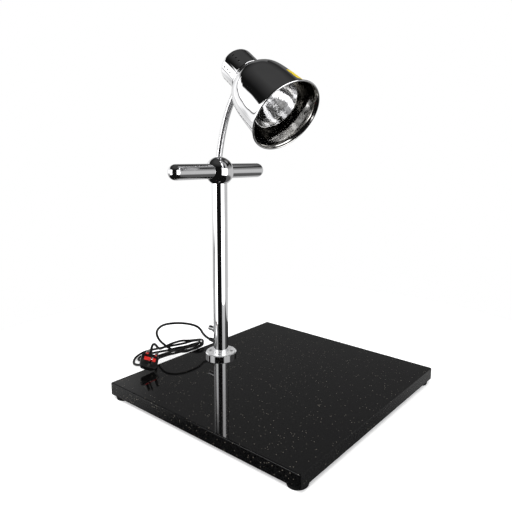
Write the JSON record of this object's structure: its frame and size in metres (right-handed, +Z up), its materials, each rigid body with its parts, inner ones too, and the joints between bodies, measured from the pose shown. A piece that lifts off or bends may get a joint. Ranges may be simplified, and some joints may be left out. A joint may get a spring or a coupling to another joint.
{
  "type": "heat lamp warmer",
  "caption": "Polished black granite slab with a chrome pole, crossbar hub and a bell-shaped infrared lamp on a bendable gooseneck, with push switch, mains cord and plug.",
  "frame": {"origin": "centre of the slab at the level of the feet's undersides", "axes": "+Z up along the pole, -Y towards the slab's front edge, which the lamp faces, +X to the right seen from the front"},
  "size_m": [0.55, 0.704, 0.8034],
  "materials": {
    "granite": "mirror polished, fine pale flecks",
    "foot_rubber": "matt",
    "polished_chrome": "mirror",
    "plain_steel": "plated",
    "black_plastic": "matt",
    "white_plastic": "satin",
    "cord_rubber": "satin",
    "plug_black": "satin",
    "fuse_red": "satin",
    "pin_brass": "plated",
    "label_yellow": "satin",
    "white_ceramic": "glazed",
    "silvered_glass": "mirror",
    "clear_glass": "polished",
    "bulb_cap": "plated"
  },
  "bodies": {
    "stand": {"granite_slab": "granite", "foot_front_left": "foot_rubber", "foot_front_right": "foot_rubber", "foot_rear_left": "foot_rubber", "foot_rear_right": "foot_rubber", "foot_screws": "plain_steel", "pole_flange": "polished_chrome", "flange_screws": "plain_steel", "pole_insert": "plain_steel", "clamp_stud": "plain_steel", "clamp_washer": "plain_steel", "clamp_nut": "plain_steel", "pole_tube": "polished_chrome", "hub_ball": "polished_chrome", "crossbar_left": "polished_chrome", "crossbar_right": "polished_chrome", "switch_bezel": "polished_chrome", "switch_body": "black_plastic", "cable_gland": "cord_rubber", "gland_nut": "black_plastic", "terminal_block": "white_plastic", "pole_wiring": "cord_rubber", "cord_arch": "cord_rubber", "cord_hank": "cord_rubber", "cord_tail": "cord_rubber", "plug_body": "plug_black", "fuse_cover": "fuse_red", "earth_pin": "pin_brass", "power_pins": "pin_brass", "pin_sleeves": "plug_black", "plug_grip": "cord_rubber"},
    "gooseneck_root": {"gooseneck_collar": "polished_chrome"},
    "hose_1": {"gooseneck_link_1": "polished_chrome"},
    "hose_2": {"gooseneck_link_2": "polished_chrome"},
    "hose_3": {"gooseneck_link_3": "polished_chrome"},
    "hose_4": {"gooseneck_link_4": "polished_chrome"},
    "hose_5": {"gooseneck_link_5": "polished_chrome"},
    "lamp_head": {"top_ferrule": "polished_chrome", "ferrule_nut": "plain_steel", "neck_housing": "polished_chrome", "lamp_shade": "polished_chrome", "shade_ring": "polished_chrome", "shade_screws": "plain_steel", "plain_label": "label_yellow", "lampholder": "white_ceramic", "holder_contact": "pin_brass", "holder_plate": "plain_steel", "holder_screws": "plain_steel", "bulb_reflector": "silvered_glass", "bulb_lens": "clear_glass", "bulb_base": "bulb_cap", "filament_mount": "bulb_cap"},
    "power_button": {"switch_button": "polished_chrome"}
  },
  "joints": [
    {"name": "gooseneck_swing", "type": "hinge", "parent": "stand", "child": "gooseneck_root", "pos_m": [0, 0.1977, 0.5596], "axis": [0, 0, 1], "range_deg": [-32, 32]},
    {"name": "gooseneck_bend_1", "type": "hinge", "parent": "gooseneck_root", "child": "hose_1", "pos_m": [0, 0.1977, 0.5596], "axis": [0.9445, 0.3285, 0], "range_deg": [-8, 8]},
    {"name": "gooseneck_bend_2", "type": "hinge", "parent": "hose_1", "child": "hose_2", "pos_m": [0.00196, 0.19207, 0.5936], "axis": [0.9445, 0.3285, 0], "range_deg": [-8, 8]},
    {"name": "gooseneck_bend_3", "type": "hinge", "parent": "hose_2", "child": "hose_3", "pos_m": [0.00435, 0.18518, 0.6266], "axis": [0.9445, 0.3285, 0], "range_deg": [-8, 8]},
    {"name": "gooseneck_bend_4", "type": "hinge", "parent": "hose_3", "child": "hose_4", "pos_m": [0.00747, 0.17622, 0.6596], "axis": [0.9445, 0.3285, 0], "range_deg": [-10, 10]},
    {"name": "gooseneck_bend_5", "type": "hinge", "parent": "hose_4", "child": "hose_5", "pos_m": [0.0111, 0.16579, 0.6866], "axis": [0.9445, 0.3285, 0], "range_deg": [-10, 10]},
    {"name": "gooseneck_bend_6", "type": "hinge", "parent": "hose_5", "child": "lamp_head", "pos_m": [0.01451, 0.15598, 0.7084], "axis": [0.9445, 0.3285, 0], "range_deg": [-10, 10]},
    {"name": "power_button_press", "type": "slide", "parent": "stand", "child": "power_button", "axis": [0, -1, 0], "range_m": [0, 0.003], "stiffness_N_per_m": 600, "springref_m": -0.001}
  ],
  "couplings": [
    {"joint": "gooseneck_bend_2", "follows": "gooseneck_bend_1", "ratio": 1},
    {"joint": "gooseneck_bend_3", "follows": "gooseneck_bend_1", "ratio": 1},
    {"joint": "gooseneck_bend_5", "follows": "gooseneck_bend_4", "ratio": 1},
    {"joint": "gooseneck_bend_6", "follows": "gooseneck_bend_4", "ratio": 1}
  ]
}
